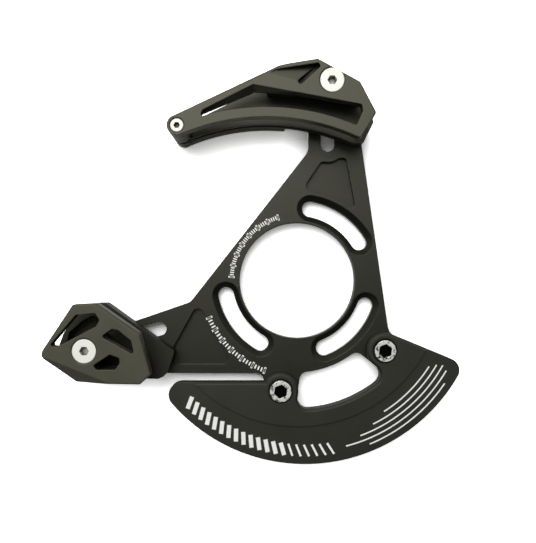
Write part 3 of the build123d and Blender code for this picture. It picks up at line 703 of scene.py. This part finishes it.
def white_table():
    """A white table close behind the part, seen as overexposed paper with a painted shadow in nooks, and
    clear from behind.
    """
    bpy.ops.mesh.primitive_plane_add(
        size=TABLE_SIZE, location=(0, TABLE_GAP, 0), rotation=(QUARTER_TURN, 0, 0)
    )
    table = bpy.context.object
    table.name = "table"
    table.visible_shadow = False
    material, tree = empty_material("white_table")
    path, seen = seen_rays(tree)
    from_behind = node(tree, "ShaderNodeNewGeometry").outputs["Backfacing"]
    tone = node(
        tree,
        "ShaderNodeMapRange",
        inputs={"Value": path["Is Camera Ray"], "To Min": TABLE_TONE, "To Max": TABLE_SEEN_TONE},
    )
    paper = node(tree, "ShaderNodeBsdfDiffuse", inputs={"Color": tone.outputs["Result"]})
    # Painted shadow: the lift fades where the part closes the table in
    shade_ao = node(
        tree, "ShaderNodeAmbientOcclusion", {"samples": TABLE_SHADOW_SAMPLES}, {"Distance": TABLE_SHADOW_REACH}
    )
    unshaded = node(
        tree,
        "ShaderNodeMath",
        {"operation": "POWER"},
        {0: shade_ao.outputs["AO"], 1: TABLE_SHADOW_POWER},
    )
    brightest = node(
        tree,
        "ShaderNodeMapRange",
        inputs={"Value": path["Is Camera Ray"], "To Min": TABLE_SHINE, "To Max": TABLE_LIFT},
    )
    bright = node(
        tree,
        "ShaderNodeMath",
        {"operation": "MULTIPLY"},
        {0: unshaded.outputs[0], 1: brightest.outputs["Result"]},
    )
    lift = node(tree, "ShaderNodeMath", {"operation": "MULTIPLY"}, {0: seen, 1: bright.outputs[0]})
    glow = node(tree, "ShaderNodeEmission", inputs={"Strength": lift.outputs[0]})
    lit = node(tree, "ShaderNodeAddShader", inputs={0: paper.outputs[0], 1: glow.outputs[0]})
    near = node(
        tree,
        "ShaderNodeMath",
        {"operation": "LESS_THAN"},
        {0: path["Ray Length"], 1: TABLE_TOUCH},
    )
    passed = node(tree, "ShaderNodeMath", {"operation": "MAXIMUM"}, {0: from_behind, 1: near.outputs[0]})
    clear = node(tree, "ShaderNodeBsdfTransparent")
    mixed = node(
        tree,
        "ShaderNodeMixShader",
        inputs={"Fac": passed.outputs[0], 1: lit.outputs[0], 2: clear.outputs[0]},
    )
    node(tree, "ShaderNodeOutputMaterial", inputs={"Surface": mixed.outputs[0]})
    table.data.materials.append(material)
    table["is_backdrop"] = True


def pale_floor():
    """A pale floor below the part, for the views from other sides."""
    floor_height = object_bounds()[0][2] - FLOOR_DROP
    bpy.ops.mesh.primitive_plane_add(size=FLOOR_SIZE, location=(0, 0, floor_height))
    floor = bpy.context.object
    floor.name = "floor"
    floor.visible_glossy = False
    material, tree = empty_material("pale_floor")
    seen = seen_rays(tree)[1]
    board = node(tree, "ShaderNodeBsdfDiffuse", inputs={"Color": linear(FLOOR_COLOUR)})
    lift = node(tree, "ShaderNodeMath", {"operation": "MULTIPLY"}, {0: seen, 1: FLOOR_LIFT})
    glow = node(tree, "ShaderNodeEmission", inputs={"Strength": lift.outputs[0]})
    lit = node(tree, "ShaderNodeAddShader", inputs={0: board.outputs[0], 1: glow.outputs[0]})
    node(tree, "ShaderNodeOutputMaterial", inputs={"Surface": lit.outputs[0]})
    floor.data.materials.append(material)
    floor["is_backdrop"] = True


def lamp(name, place, size, power):
    """A soft square lamp that points at the part."""
    data = bpy.data.lights.new(name, "AREA")
    data.size = size
    data.energy = power
    holder = bpy.data.objects.new(name, data)
    bpy.context.scene.collection.objects.link(holder)
    holder.location = place
    holder.rotation_euler = holder.location.to_track_quat("Z", "Y").to_euler()


def studio():
    """A room that is bright above and dim below, with a large soft lamp in front and another behind."""
    world = bpy.data.worlds.new("white_room")
    bpy.context.scene.world = world
    world.use_nodes = True
    tree = world.node_tree
    tree.nodes.clear()
    way = node(tree, "ShaderNodeTexCoord").outputs["Generated"]
    up = node(tree, "ShaderNodeVectorMath", {"operation": "DOT_PRODUCT"}, {0: way, 1: ROOM_BRIGHT_SIDE})
    room = node(
        tree,
        "ShaderNodeMapRange",
        inputs={
            "Value": up.outputs["Value"],
            "From Min": ROOM_TURN[0],
            "From Max": ROOM_TURN[1],
            "To Min": ROOM_BELOW,
            "To Max": ROOM_ABOVE,
        },
    )
    path, seen = seen_rays(tree)
    share = node(tree, "ShaderNodeMapRange", inputs={"Value": seen, "To Min": ROOM_LIGHT, "To Max": 1.0})
    strength = node(
        tree,
        "ShaderNodeMath",
        {"operation": "MULTIPLY"},
        {0: room.outputs["Result"], 1: share.outputs["Result"]},
    )
    shown = node(
        tree,
        "ShaderNodeMath",
        {"operation": "MAXIMUM"},
        {0: strength.outputs[0], 1: path["Is Camera Ray"]},
    )
    sky = node(
        tree,
        "ShaderNodeBackground",
        inputs={"Color": linear(ROOM_WHITE), "Strength": shown.outputs[0]},
    )
    node(tree, "ShaderNodeOutputWorld", inputs={"Surface": sky.outputs["Background"]})
    lamp("key_lamp", KEY_PLACE, KEY_SIZE, KEY_POWER)
    lamp("rear_lamp", REAR_PLACE, REAR_SIZE, REAR_POWER)


def camera():
    """The photograph's camera: level, square to the backplate and about a quarter of a metre away."""
    data = bpy.data.cameras.new("camera")
    data.sensor_width = SENSOR_WIDTH
    data.lens = FOCAL_PIXELS * SENSOR_WIDTH / PICTURE_LONG_SIDE
    data.clip_start = CAMERA_NEAREST
    holder = bpy.data.objects.new("camera", data)
    bpy.context.scene.collection.objects.link(holder)
    holder.location = CAMERA_PLACE
    holder.rotation_euler = (QUARTER_TURN, 0, 0)
    bpy.context.scene.camera = holder


white_print()
white_table()
pale_floor()
studio()
camera()
bpy.context.scene.view_settings.view_transform = "Standard"
